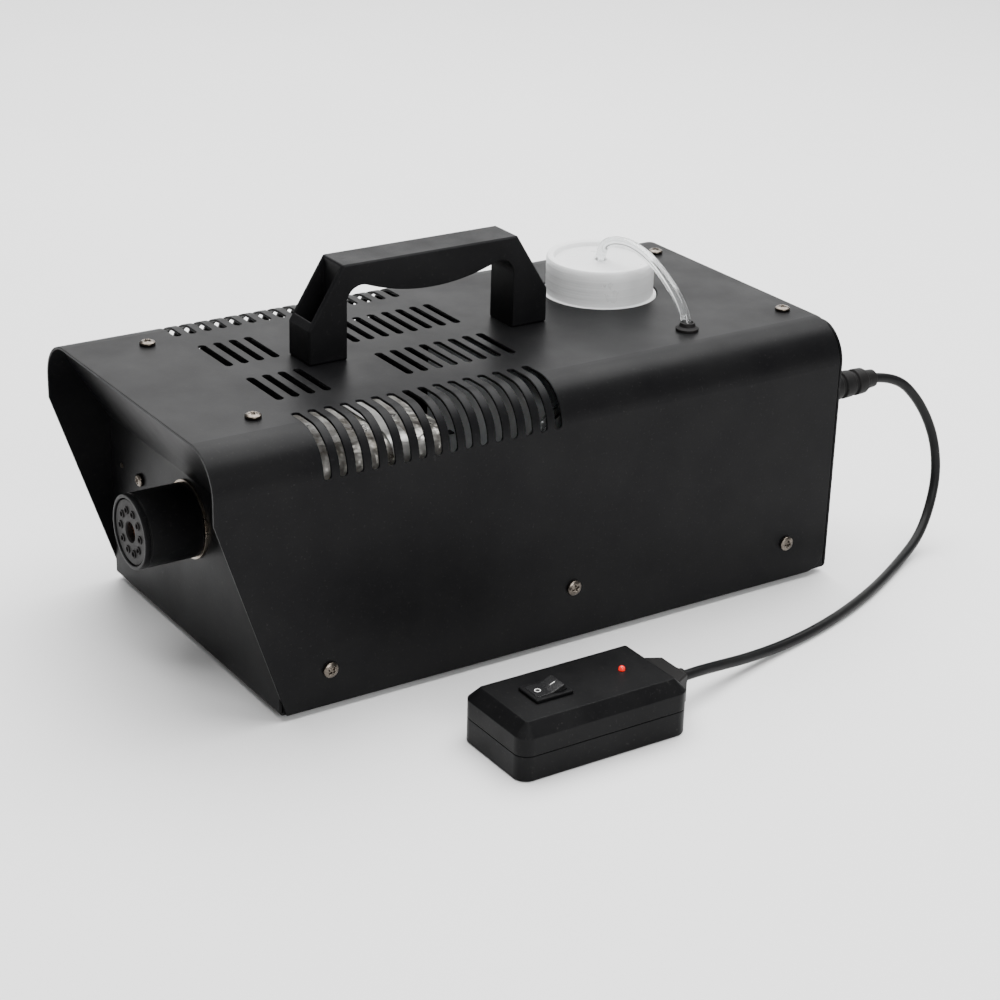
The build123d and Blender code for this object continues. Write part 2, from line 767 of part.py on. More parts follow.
terminal_x = -60.0
terminal_y = -30.0
terminal_rows = [terminal_y + step for step in (-22.5, -7.5, 7.5, 22.5)]
with BuildPart() as terminal_block:
    with Locations((terminal_x, terminal_y, bracket_low)):
        Box(20, 62, 6, align=CENTRE_LOW)
    with Locations(*((terminal_x, y, bracket_low + 6) for y in terminal_rows)):
        Box(20, 11, 10, align=CENTRE_LOW)
    with Locations(*(Location((terminal_x, y, bracket_low + 10), (0, 90, 0)) for y in terminal_rows)):
        Cylinder(2.1, 22, mode=Mode.SUBTRACT)
save(terminal_block, "terminal_block")

fuse_y = -92.0
with BuildPart() as fuse_holder:
    with Locations((terminal_x, fuse_y, bracket_low)):
        Box(14, 44, 3, align=CENTRE_LOW)
    for end in (-16, 16):
        with Locations((terminal_x, fuse_y + end, bracket_low + 3)):
            Box(8, 5, 8, align=CENTRE_LOW)
    add(ring(2.65, 0, fuse_y - 20, fuse_y + 20, terminal_x, bracket_low + 8), mode=Mode.SUBTRACT)
save(fuse_holder, "fuse_holder")

with BuildPart() as glass_fuse:
    add(ring(2.5, 0, fuse_y - 15, fuse_y + 15, terminal_x, bracket_low + 8))
save(glass_fuse, "glass_fuse")

wire = 1.2
wire_side = -76.0
terminal_z = bracket_low + 10
inlet_ends = [(-7, -2), (0, 2), (7, -2)]
mains_wires = []
for order, (across, up) in enumerate(inlet_ends):
    fall_y = 146 - 2.6 * order
    run_z = 11 + 3 * order
    row = terminal_rows[3 - order]
    mains_wires.append(
        tube(
            [
                (inlet_x + across, back - 24, inlet_z + up),
                (inlet_x + across, fall_y, inlet_z + up),
                (wire_side, fall_y, inlet_z + up - 4),
                (wire_side - 0.5, fall_y - 3, run_z),
                (wire_side, fall_y - 60, run_z),
                (wire_side, row, run_z + 0.5),
                (terminal_x - 10, row, terminal_z),
            ],
            wire,
        )
    )
with BuildPart() as mains_leads:
    add(mains_wires)
save(mains_leads, "mains_leads")

terminal_end = terminal_x + 10
heater_wires = [
    tube(
        [
            (-14, heater_rear + 14, nozzle_z + 4),
            (-14, heater_rear + 22, nozzle_z + 4),
            (-34, 6, 58),
            (-43, 0, 30),
            (-43, terminal_rows[3], terminal_z + 1),
            (terminal_end, terminal_rows[3], terminal_z),
        ],
        wire,
    ),
    tube(
        [
            (14, heater_rear + 14, nozzle_z + 4),
            (14, heater_rear + 22, nozzle_z + 5),
            (2, 10, nozzle_z + 3),
            (-24, 10.5, 56),
            (-38, 5, 34),
            (-38, -14, 17),
            (-41, terminal_rows[2], terminal_z + 1),
            (terminal_end, terminal_rows[2], terminal_z),
        ],
        wire,
    ),
]
with BuildPart() as heater_leads:
    add(heater_wires)
save(heater_leads, "heater_leads")

spade_z = pump_z + 27
pump_lead_route = [
    (pump_x - 6, pump_y - 8, spade_z),
    (pump_x - 6, pump_y - 4, spade_z + 6),
    (pump_x - 12, pump_y + 28, spade_z + 4),
    (42, 0, 42),
    (28, 9, 22),
    (-8, 10, 11),
    (-34, 4, 9.5),
    (-40, -26, 10.5),
    (-43, terminal_rows[1], terminal_z),
    (terminal_end, terminal_rows[1], terminal_z),
]
with BuildPart() as pump_lead:
    add(tube(pump_lead_route, wire))
save(pump_lead, "pump_lead")

remote_lead_route = [
    (relief[0], back - 8, relief[1]),
    (relief[0], back - 20, relief[1]),
    (relief[0] + 2, 118, 90),
    (relief[0] + 3, 80, 84),
    (relief[0] + 2, 40, 79),
    (relief[0], 5, 74),
    (relief[0] - 4, -28, 70),
    (pump_x + 6, pump_y - 4, spade_z + 9),
    (pump_x + 6, pump_y - 8, spade_z),
]
with BuildPart() as remote_lead:
    add(tube(remote_lead_route, 1.8))
save(remote_lead, "remote_lead")

# The remote's cable and its strain relief in the rear panel

with BuildPart() as cable_relief:
    add(ring(5.9, 0, back - 8, back, *relief))
    add(ring(9.6, 0, back, back + 3, *relief))
    with BuildSketch(Plane.XZ.offset(-back - 3)):
        with Locations(relief):
            Circle(6.6)
    with BuildSketch(Plane.XZ.offset(-relief_tip)):
        with Locations(relief):
            Circle(4.6)
    loft()
    for rib in (6, 14, 22):
        add(ring(7.0 - 0.055 * rib, 0, back + rib, back + rib + 3.4, *relief))
save(cable_relief, "cable_relief")

cable_route = [
    (relief[0], relief_tip, relief[1]),
    (72.7, 222.0, 93.0),
    (74.0, 238.0, 78.0),
    (76.0, 249.0, 58.0),
    (78.5, 252.0, 38.0),
    (82.0, 247.0, 21.0),
    (90.0, 233.0, 7.5),
    (102.0, 208.0, 2.6),
    (118.0, 178.5, 2.6),
    (131.0, 148.0, 2.6),
    (139.5, 121.0, 2.6),
    (145.0, 96.0, 3.0),
    (151.0, 70.0, 6.0),
    (156.0, 48.0, 10.0),
    (160.5, 33.0, 13.3),
    (remote_x, collar_tip, collar_z),
]
with BuildPart() as remote_cable:
    add(tube(cable_route, cable_radius))
save(remote_cable, "remote_cable")
print("cable bend radii", [round(r) for r in bend_radii(cable_route)])
print("hose bend radii", [round(r) for r in bend_radii(hose_route)])

# Remote: two shells with a rocker switch, a lamp and a strain relief

remote_plan = Plane((remote_x, remote_y, 0))
wall = 2.0
with BuildPart() as remote_bottom_shell:
    with BuildSketch(remote_plan):
        RectangleRounded(remote_width, remote_length, remote_corner)
    extrude(amount=remote_split - 0.2)
    fillet(faces().sort_by(Axis.Z)[0].edges(), 1.0)
    with BuildSketch(remote_plan.offset(wall)):
        RectangleRounded(remote_width - 2 * wall, remote_length - 2 * wall, remote_corner - wall)
    extrude(amount=remote_split, mode=Mode.SUBTRACT)
    with BuildSketch(remote_plan.offset(wall)):
        with GridLocations(remote_width - 15, remote_length - 15, 2, 2):
            Circle(3.2)
    extrude(amount=remote_split - 0.3 - wall)
    with BuildSketch(remote_plan):
        with GridLocations(remote_width - 15, remote_length - 15, 2, 2):
            Circle(2.9)
    extrude(amount=1.8, mode=Mode.SUBTRACT)
    with BuildSketch(remote_plan):
        with GridLocations(remote_width - 15, remote_length - 15, 2, 2):
            Circle(1.5)
    extrude(amount=remote_split, mode=Mode.SUBTRACT)
    with Locations((remote_x, remote_y + remote_length / 2, collar_z)):
        Box(16.4, 12.2, 13.4, mode=Mode.SUBTRACT)
save(remote_bottom_shell, "remote_bottom_shell")

with BuildPart() as remote_top_shell:
    with BuildSketch(remote_plan.offset(remote_split + 0.2)):
        RectangleRounded(remote_width, remote_length, remote_corner)
    extrude(amount=remote_height - remote_split - 0.2)
    chamfer(faces().sort_by(Axis.Z)[-1].edges(), remote_bevel)
    with BuildSketch(remote_plan.offset(remote_split)):
        RectangleRounded(remote_width - 2 * wall, remote_length - 2 * wall, remote_corner - wall)
    extrude(amount=6.5, mode=Mode.SUBTRACT)
    with BuildSketch(remote_plan.offset(remote_split)):
        RectangleRounded(remote_width - 14, remote_length - 14, 3)
    extrude(amount=remote_height - remote_split - wall, mode=Mode.SUBTRACT)
    with BuildSketch(remote_plan.offset(remote_split + 0.2)):
        with GridLocations(remote_width - 15, remote_length - 15, 2, 2):
            Circle(3.0)
            Circle(1.3, mode=Mode.SUBTRACT)
    extrude(amount=7)
    with Locations((remote_x, rocker_y, remote_height)):
        Box(13.2, 17.2, 6, mode=Mode.SUBTRACT)
    with Locations((remote_x, led_y, remote_height)):
        Cylinder(1.6, 6, mode=Mode.SUBTRACT)
    with Locations((remote_x, remote_y + remote_length / 2, collar_z)):
        Box(16.4, 12.2, 13.4, mode=Mode.SUBTRACT)
save(remote_top_shell, "remote_top_shell")

with BuildPart() as rocker_frame:
    with Locations((remote_x, rocker_y, remote_height)):
        Box(15, 19.4, 1.6, align=CENTRE_LOW)
    fillet(edges().filter_by(Axis.Z), 0.8)
    chamfer(faces().sort_by(Axis.Z)[-1].edges(), 0.4)
    with Locations((remote_x, rocker_y, remote_height - 11)):
        Box(13, 17, 11.2, align=CENTRE_LOW)
    with Locations((remote_x, rocker_y, remote_height - 9)):
        Box(10.6, 15.6, 14, align=CENTRE_LOW, mode=Mode.SUBTRACT)
    with Locations(Location((remote_x, rocker_y, remote_height - 0.4), (0, 90, 0))):
        Cylinder(1.06, 12.2, mode=Mode.SUBTRACT)
save(rocker_frame, "rocker_frame")

tilt = 11.0
with BuildPart() as remote_rocker:
    with BuildSketch(Plane.YZ.offset(remote_x)):
        with BuildLine():
            Polyline((-7.0, -1.5), (-7.3, 3.6), (0, 2.4), (7.3, 3.6), (7.0, -1.5), (0, -3.2), close=True)
        make_face()
    extrude(amount=5.1, both=True)
    fillet(edges().filter_by(Axis.X).group_by(Axis.Z)[-1], 0.5)
    with Locations(Location((remote_x, 0, 0), (0, 90, 0))):
        Cylinder(1.0, 11.8)
rocker_axis_z = remote_height - 0.4
remote_rocker.part = (
    Pos(0, rocker_y, rocker_axis_z) * Rot(tilt, 0, 0) * remote_rocker.part
)
save(remote_rocker, "remote_rocker")

with BuildPart() as rocker_terminals:
    with Locations((remote_x, rocker_y, remote_height - 11)):
        with GridLocations(1, 8, 1, 2):
            Box(4.8, 0.8, 7.5, align=(Align.CENTER, Align.CENTER, Align.MAX))
save(rocker_terminals, "rocker_terminals")

with BuildPart() as remote_led:
    with Locations((remote_x, led_y, remote_height - 5)):
        Cylinder(1.5, 7, align=CENTRE_LOW)
        Cylinder(1.9, 1.0, align=CENTRE_LOW)
    fillet(faces().sort_by(Axis.Z)[-1].edges(), 1.4)
save(remote_led, "remote_led")

with BuildPart() as remote_screws:
    with Locations(Location((remote_x, remote_y, 1.7), (180, 0, 0))):
        with GridLocations(remote_width - 15, remote_length - 15, 2, 2):
            add(pan_screw(2.6, 1.2, 14))
save(remote_screws, "remote_screws")

remote_end = remote_y + remote_length / 2
with BuildPart() as remote_relief:
    with BuildSketch(Plane.XY.offset(collar_z - 7)):
        with Locations((remote_x, remote_end + 0.2)):
            Polygon((-14, 0), (14, 0), (9.5, 8.5), (-9.5, 8.5), align=None)
    extrude(amount=14)
    fillet(edges().group_by(Axis.Z)[-1], 1.0)
    with Locations((remote_x, remote_end + 0.3, collar_z)):
        Box(16, 6, 13, align=(Align.CENTER, Align.MAX, Align.CENTER))
    add(ring(4.8, 0, remote_end + 8, collar_tip - 2.5, remote_x, collar_z))
    add(ring(3.9, 0, collar_tip - 2.6, collar_tip, remote_x, collar_z))
save(remote_relief, "remote_relief")
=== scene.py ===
"""The fog machine: CAD pieces with their finishes, and detailed pieces that replace the plain ones."""

import json
from math import cos, pi, radians, sin

import bpy
from mathutils import Matrix, Vector


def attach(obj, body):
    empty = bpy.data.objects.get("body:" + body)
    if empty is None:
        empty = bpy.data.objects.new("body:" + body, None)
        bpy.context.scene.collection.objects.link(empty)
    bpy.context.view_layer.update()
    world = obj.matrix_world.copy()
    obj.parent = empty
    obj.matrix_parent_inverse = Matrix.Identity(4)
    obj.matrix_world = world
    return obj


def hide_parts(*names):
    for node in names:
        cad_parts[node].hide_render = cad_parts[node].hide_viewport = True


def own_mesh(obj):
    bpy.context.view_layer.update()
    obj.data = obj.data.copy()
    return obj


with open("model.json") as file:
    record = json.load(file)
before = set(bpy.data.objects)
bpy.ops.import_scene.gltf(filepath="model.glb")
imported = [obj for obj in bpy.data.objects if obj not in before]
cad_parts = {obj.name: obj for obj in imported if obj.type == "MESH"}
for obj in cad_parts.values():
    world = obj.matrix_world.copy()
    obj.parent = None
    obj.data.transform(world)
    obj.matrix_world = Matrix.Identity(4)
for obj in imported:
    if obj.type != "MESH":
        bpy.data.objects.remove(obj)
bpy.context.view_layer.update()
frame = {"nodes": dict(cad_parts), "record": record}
nodes = frame["nodes"]
MM = 0.001

# Places and sizes that several pieces share, in millimetres

housing_half = 87
housing_top = 133.0
rear_panel = 173
nozzle_z = 65.8
cord_radius = 2.5

# Camera and cords


def place_camera():
    """The camera, in metres and degrees: turned by yaw, pitched down and rolled, for a square picture."""
    place = (0.9033, -0.5727, 0.5122)
    yaw, pitch, roll = radians(56.299), radians(23.589), radians(1.599)
    forward = Vector((-sin(yaw) * cos(pitch), cos(yaw) * cos(pitch), -sin(pitch)))
    side = Vector((cos(yaw), sin(yaw), 0))
    up = side.cross(forward)
    right = side * cos(roll) + up * sin(roll)
    over = up * cos(roll) - side * sin(roll)
    data = bpy.data.cameras.new("camera")
    data.lens = 84.98
    data.sensor_width = 36
    camera = bpy.data.objects.new("camera", data)
    turn = Matrix((right, over, -forward)).transposed().to_4x4()
    camera.matrix_world = Matrix.Translation(place) @ turn
    bpy.context.scene.collection.objects.link(camera)
    bpy.context.scene.camera = camera


def cord_curve(name, route, radius):
    """A round cord along a route in millimetres."""
    data = bpy.data.curves.new(name, "CURVE")
    data.dimensions = "3D"
    # With a depth of 1, each point's radius in metres is the cord's own radius.
    data.bevel_depth = 1.0
    data.bevel_resolution = 6
    data.resolution_u = 14
    data.use_fill_caps = True
    spline = data.splines.new("NURBS")
    spline.points.add(len(route) - 1)
    for point, place in zip(spline.points, route):
        point.co = (place[0] * MM, place[1] * MM, place[2] * MM, 1)
        point.radius = radius * MM
    spline.order_u = 3
    spline.use_endpoint_u = True
    cord = bpy.data.objects.new(name, data)
    bpy.context.scene.collection.objects.link(cord)
    return cord


place_camera()

cable_route = [
    (72.5, 206, 95),
    (72.7, 222, 93),
    (74, 238, 78),
    (76, 249, 58),
    (78.5, 252, 38),
    (82, 247, 21),
    (90, 233, 7.5),
    (102, 208, 2.6),
    (118, 178.5, 2.6),
    (131, 148, 2.6),
    (139.5, 121, 2.6),
    (145, 96, 3),
    (151, 70, 6),
    (156, 48, 10),
    (160.5, 33, 13.3),
    (162, 23.5, 14),
]
cable = cord_curve("cable", cable_route, cord_radius)
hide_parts("remote_cable")
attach(cable, "housing")

hose_route = [
    (-16, 97, 149.8),
    (-15, 97, 157),
    (-7, 97.4, 161.8),
    (7, 98, 164),
    (22, 98.6, 161.3),
    (36, 99.3, 154),
    (47.5, 99.8, 145),
    (53.5, 100, 137),
    (53.5, 100, 130.5),
]
hose = cord_curve("hose", hose_route, cord_radius)
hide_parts("intake_hose")
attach(hose, "cap_lift")

# Finishes

# The span of a noise's values over which the colour, the dust and the gloss change
TINT_SPAN = (0.34, 0.68)
DUST_SPAN = (0.6, 0.76)
GLOSS_SPAN = (0.3, 0.7)


def finish(name, dark, light, rough, **look):
    """A surface whose colour, gloss and height vary from place to place.

    dark and light are its two colours, and rough is its (lowest, highest) roughness.
    """
    material = bpy.data.materials.new(name)
    material.use_nodes = True
    tree = material.node_tree
    shader = tree.nodes["Principled BSDF"]
    where = tree.nodes.new("ShaderNodeTexCoord")
    stretch = tree.nodes.new("ShaderNodeMapping")
    stretch.inputs["Scale"].default_value = look.get("stretch", (1, 1, 1))
    tree.links.new(where.outputs["Object"], stretch.inputs["Vector"])

    def noise(scale, detail, rough_detail=0.55):
        node = tree.nodes.new("ShaderNodeTexNoise")
        node.inputs["Scale"].default_value = scale
        node.inputs["Detail"].default_value = detail
        node.inputs["Roughness"].default_value = rough_detail
        tree.links.new(stretch.outputs["Vector"], node.inputs["Vector"])
        return node

    cloud = noise(look.get("cloud", 28), 7)
    tint = tree.nodes.new("ShaderNodeValToRGB")
    tint.color_ramp.elements[0].position = TINT_SPAN[0]
    tint.color_ramp.elements[1].position = TINT_SPAN[1]
    tint.color_ramp.elements[0].color = (*dark, 1)
    tint.color_ramp.elements[1].color = (*light, 1)
    tree.links.new(cloud.outputs["Fac"], tint.inputs["Fac"])
    colour = tint.outputs["Color"]

    if look.get("dust", 0):
        speck = noise(look.get("speck", 520), 4, 0.7)
        mask = tree.nodes.new("ShaderNodeMapRange")
        mask.inputs["From Min"].default_value = DUST_SPAN[0]
        mask.inputs["From Max"].default_value = DUST_SPAN[1]
        mask.inputs["To Max"].default_value = look["dust"]
        tree.links.new(speck.outputs["Fac"], mask.inputs["Value"])
        dusty = tree.nodes.new("ShaderNodeMix")
        dusty.data_type = "RGBA"
        dusty.inputs["B"].default_value = (*look.get("dust_colour", (0.3, 0.29, 0.27)), 1)
        tree.links.new(mask.outputs["Result"], dusty.inputs["Factor"])
        tree.links.new(colour, dusty.inputs["A"])
        colour = dusty.outputs["Result"]
    tree.links.new(colour, shader.inputs["Base Color"])

    smear = noise(look.get("smear", 60), 5)
    gloss = tree.nodes.new("ShaderNodeMapRange")
    gloss.inputs["From Min"].default_value = GLOSS_SPAN[0]
    gloss.inputs["From Max"].default_value = GLOSS_SPAN[1]
    gloss.inputs["To Min"].default_value = rough[0]
    gloss.inputs["To Max"].default_value = rough[1]
    tree.links.new(smear.outputs["Fac"], gloss.inputs["Value"])
    tree.links.new(gloss.outputs["Result"], shader.inputs["Roughness"])

    edge = tree.nodes.new("ShaderNodeBevel")
    edge.samples = 4
    edge.inputs["Radius"].default_value = look.get("edge", 0.35) * MM
    grain = noise(look.get("grain", 900), 3)
    height = tree.nodes.new("ShaderNodeBump")
    height.inputs["Strength"].default_value = look.get("bump", 0.2)
    height.inputs["Distance"].default_value = look.get("depth", 0.15) * MM
    tree.links.new(grain.outputs["Fac"], height.inputs["Height"])
    tree.links.new(edge.outputs["Normal"], height.inputs["Normal"])
    normal = height.outputs["Normal"]
    if look.get("ridge", 0):
        wave = tree.nodes.new("ShaderNodeTexWave")
        wave.bands_direction = look.get("ridge_axis", "Z")
        wave.inputs["Scale"].default_value = look["ridge"]
        wave.inputs["Distortion"].default_value = 0.15
        tree.links.new(where.outputs["Object"], wave.inputs["Vector"])
        ribs = tree.nodes.new("ShaderNodeBump")
        ribs.inputs["Strength"].default_value = 0.5
        ribs.inputs["Distance"].default_value = 0.4 * MM
        tree.links.new(wave.outputs["Fac"], ribs.inputs["Height"])
        tree.links.new(normal, ribs.inputs["Normal"])
        normal = ribs.outputs["Normal"]
    tree.links.new(normal, shader.inputs["Normal"])

    for key, value in look.get("sockets", {}).items():
        shader.inputs[key].default_value = value
    return material


METAL = {"Metallic": 1.0}
DULL = {"Specular IOR Level": 0.08}
paint = finish(
    "paint", (0.0035, 0.0035, 0.004), (0.006, 0.006, 0.0063), (0.35, 0.46),
    grain=1500, bump=0.22, depth=0.09, dust=0.05, speck=700, smear=35, edge=0.5, sockets=DULL,
)
tray_paint = finish(
    "tray_paint", (0.0035, 0.0035, 0.004), (0.006, 0.006, 0.0063), (0.34, 0.46),
    grain=1500, bump=0.22, depth=0.09, dust=0.05, smear=30, edge=0.5, sockets=DULL,
)
grip_plastic = finish(
    "grip_plastic", (0.0035, 0.0035, 0.004), (0.0065, 0.0065, 0.007), (0.4, 0.54),
    grain=1900, bump=0.5, depth=0.12, dust=0.04, edge=0.7, sockets=DULL,
)
shell_plastic = finish(
    "shell_plastic", (0.003, 0.003, 0.0033), (0.0055, 0.0055, 0.0058), (0.32, 0.44),
    grain=2200, bump=0.22, depth=0.06, dust=0.06, speck=600, edge=0.6, sockets=DULL,
)
black_rubber = finish(
    "black_rubber", (0.008, 0.008, 0.008), (0.014, 0.013, 0.013), (0.42, 0.6),
    grain=1300, bump=0.25, depth=0.08, dust=0.06, edge=0.4, sockets=DULL,
)
cable_skin = finish(
    "cable_skin", (0.007, 0.007, 0.0075), (0.012, 0.012, 0.012), (0.27, 0.4),
    grain=700, bump=0.12, depth=0.1, dust=0.04, edge=0.1, sockets=DULL,
)
gloss_black = finish(
    "gloss_black", (0.009, 0.009, 0.01), (0.014, 0.014, 0.014), (0.12, 0.2),
    grain=600, bump=0.05, depth=0.05, dust=0.1, edge=0.3,
)
screw_plate = finish(
    "screw_plate", (0.09, 0.078, 0.066), (0.19, 0.165, 0.14), (0.22, 0.36),
    grain=1400, bump=0.12, depth=0.05, cloud=260, edge=0.15, sockets=METAL,
)
zinc = finish(
    "zinc", (0.5, 0.5, 0.48), (0.72, 0.72, 0.7), (0.28, 0.45),
    grain=600, bump=0.12, depth=0.08, cloud=90, stretch=(1, 0.2, 1), sockets=METAL,
)
heated_steel = finish(
    "heated_steel", (0.2, 0.15, 0.1), (0.36, 0.33, 0.29), (0.26, 0.42),
    grain=800, bump=0.1, depth=0.05, cloud=70, edge=0.2, sockets=METAL,
)
cast = finish(
    "cast", (0.5, 0.5, 0.49), (0.72, 0.71, 0.69), (0.42, 0.6),
    grain=1300, bump=0.4, depth=0.12, cloud=120, edge=0.25, sockets={"Metallic": 0.85},
)
brass = finish(
    "brass", (0.52, 0.33, 0.14), (0.78, 0.56, 0.28), (0.25, 0.45),
    grain=900, bump=0.12, depth=0.05, cloud=200, sockets=METAL,
)
copper = finish(
    "copper", (0.5, 0.24, 0.14), (0.75, 0.42, 0.27), (0.25, 0.42),
    grain=700, bump=0.12, depth=0.06, cloud=80, sockets=METAL,
)
# The heater wrap's patchy dark and light colours are painted shade and painted highlights of crumpled foil,
# laid over its real bumps and metallic sheen.
foil_painted_shade = finish(
    "foil_painted_shade", (0.16, 0.145, 0.12), (0.8, 0.79, 0.75), (0.24, 0.42),
    grain=130, bump=0.9, depth=2.2, cloud=75, dust=0.5, dust_colour=(0.12, 0.08, 0.05),
    speck=160, edge=1.5, sockets={"Metallic": 0.75},
)
ceramic = finish(
    "ceramic", (0.72, 0.69, 0.62), (0.86, 0.84, 0.79), (0.3, 0.5),
    grain=800, bump=0.15, depth=0.08, dust=0.15,
)
coil_tape = finish(
    "coil_tape", (0.5, 0.42, 0.2), (0.68, 0.6, 0.36), (0.35, 0.5),
    grain=500, bump=0.2, depth=0.15, ridge=150, ridge_axis="Y",
)
lead_sleeve = finish(
    "lead_sleeve", (0.72, 0.71, 0.68), (0.86, 0.86, 0.83), (0.4, 0.55),
    grain=900, bump=0.15, depth=0.08,
)
milky = {
    "Transmission Weight": 0.22,
    "IOR": 1.49,
    "Subsurface Weight": 0.55,
    "Subsurface Radius": (0.006, 0.006, 0.006),
    "Subsurface Scale": 1.0,
}
cap_plastic = finish(
    "cap_plastic", (0.86, 0.87, 0.87), (0.94, 0.95, 0.95), (0.26, 0.4),
    grain=900, bump=0.12, depth=0.08, cloud=45, dust=0.08, edge=0.5, sockets=milky,
)
tank_plastic = finish(
    "tank_plastic", (0.7, 0.74, 0.76), (0.84, 0.87, 0.88), (0.34, 0.5),
    grain=500, bump=0.2, depth=0.2, cloud=40, sockets=milky,
)
foam = finish(
    "foam", (0.68, 0.68, 0.66), (0.8, 0.8, 0.78), (0.75, 0.9),
    grain=1600, bump=0.6, depth=0.3,
)
clear = {"Transmission Weight": 0.93, "IOR": 1.38, "Coat Weight": 0.35, "Coat Roughness": 0.08}
silicone = finish(
    "silicone", (0.86, 0.88, 0.88), (0.94, 0.95, 0.95), (0.07, 0.18),
    grain=260, bump=0.05, depth=0.1, edge=0.05, sockets=clear,
)
clear_glass = finish(
    "clear_glass", (0.9, 0.92, 0.92), (0.97, 0.98, 0.98), (0.02, 0.06),
    grain=300, bump=0.02, depth=0.05, sockets={"Transmission Weight": 1.0, "IOR": 1.5},
)
lamp = finish(
    "lamp", (0.4, 0.008, 0.006), (0.6, 0.02, 0.012), (0.1, 0.2),
    grain=500, bump=0.03, depth=0.05, edge=0.1,
    sockets={"Emission Color": (1, 0.02, 0.01, 1), "Emission Strength": 0.7, "Transmission Weight": 0.3},
)
nozzle_black = finish(
    "nozzle_black", (0.006, 0.0055, 0.0055), (0.011, 0.0095, 0.0095), (0.36, 0.5),
    grain=1500, bump=0.2, depth=0.06, cloud=90, dust=0.04, edge=0.4, sockets=DULL,
)
white_print = finish(
    "white_print", (0.72, 0.72, 0.7), (0.86, 0.86, 0.84), (0.4, 0.55),
    grain=900, bump=0.1, depth=0.03, edge=0.05,
)

slot_finish = {
    "painted_steel": paint,
    "painted_tray": tray_paint,
    "rubber": black_rubber,
    "screw": screw_plate,
    "handle_plastic": grip_plastic,
    "tank_plastic": tank_plastic,
    "bare_steel": zinc,
    "foam": foam,
    "clear_hose": silicone,
    "brass": brass,
    "coil": coil_tape,
    "cast_aluminium": cast,
    "insulation": foil_painted_shade,
    "ceramic": ceramic,
    "dark_plastic": shell_plastic,
    "copper": copper,
    "glass": clear_glass,
    "lead": lead_sleeve,
    "cable": cable_skin,
    "gloss_black": gloss_black,
    "led": lamp,
}
node_finish = {
    "nozzle_ring": heated_steel,
    "nozzle_face": nozzle_black,
    "nozzle_jet": copper,
    "cable_relief": black_rubber,
    "remote_relief": black_rubber,
    "filler_cap": cap_plastic,
}
for entry in frame["record"]["subparts"]:
    name = entry["node"]
    mesh = nodes[name].data
    mesh.materials.clear()
    mesh.materials.append(node_finish.get(name, slot_finish[entry["material_slot"]]))
cable.data.materials.append(cable_skin)
hose.data.materials.append(silicone)

# Meshes made by rule


def add_mesh(name, points, faces, material, body, replaced=()):
    """A smooth-shaded mesh in millimetres that moves with a body."""
    mesh = bpy.data.meshes.new(name)
    mesh.from_pydata([tuple(value * MM for value in point) for point in points], [], faces)
    mesh.polygons.foreach_set("use_smooth", [True] * len(mesh.polygons))
    mesh.materials.append(material)
    mesh.validate()
    piece = bpy.data.objects.new(name, mesh)
    bpy.context.scene.collection.objects.link(piece)
    if replaced:
        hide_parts(*replaced)
    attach(piece, body)
    return piece


def soften(profile, radius, steps=4):
    """A closed list of (r, z) corners with each corner rounded by a short curve of points."""
    most = 0.45  # the largest share of a side that one rounding takes
    soft = []
    for i, corner in enumerate(profile):
        here = Vector(corner)
        before = Vector(profile[i - 1]) - here
        after = Vector(profile[(i + 1) % len(profile)]) - here
        cut = min(radius, most * before.length, most * after.length)
        start = here + before.normalized() * cut
        end = here + after.normalized() * cut
        for step in range(steps + 1):
            t = step / steps
            soft.append(start * (1 - t) ** 2 + here * 2 * t * (1 - t) + end * t * t)
    return soft


def divide(outline, step):
    """The closed outline with extra points, so that no side is longer than step."""
    fine = []
    for i, here in enumerate(outline):
        ahead = outline[(i + 1) % len(outline)]
        parts = max(1, int((ahead - here).length / step))
        fine += [here.lerp(ahead, k / parts) for k in range(parts)]
    return fine


def turned(profile, place, segments=128, radius=0.4, step=30.0, wobble=None):
    """Points and faces of a closed profile of (r, z) corners turned about the Z axis of place.

    wobble(angle, r, z) gives a change of radius.
    """
    outline = divide(soften(profile, radius), step)
    points = []
    for k in range(segments):
        angle = 2 * pi * k / segments
        for r, z in outline:
            reach = r + (wobble(angle, r, z) if wobble else 0)
            points.append(place @ Vector((reach * cos(angle), reach * sin(angle), z)))
    count = len(outline)
    faces = []
    for k in range(segments):
        for j in range(count):
            a = k * count + j
            b = k * count + (j + 1) % count
            c = (k + 1) % segments * count + (j + 1) % count
            d = (k + 1) % segments * count + j
            faces.append((a, b, c, d))
    return points, faces


def facing(place, axis):
    """A frame in millimetres at place whose Z axis points along axis."""
    turn = Vector((0, 0, 1)).rotation_difference(Vector(axis)).to_matrix().to_4x4()
    return Matrix.Translation(place) @ turn


def cross_depth(x, y, radius):
    """How deep a Phillips recess is at (x, y) in a head of this radius."""
    arm = 0.56 * radius
    wide = 0.13 * radius
    flank = 0.07 * radius
    taper = 0.3 * radius
    deep = 0.0
    for a, b in ((abs(x), abs(y)), (abs(y), abs(x))):
        side = max(0.0, min(1.0, (wide + flank - b) / flank))
        end = max(0.0, min(1.0, (arm - a) / taper))
        deep = max(deep, side * min(1.0, end * 1.6))
    return deep * 0.34 * radius


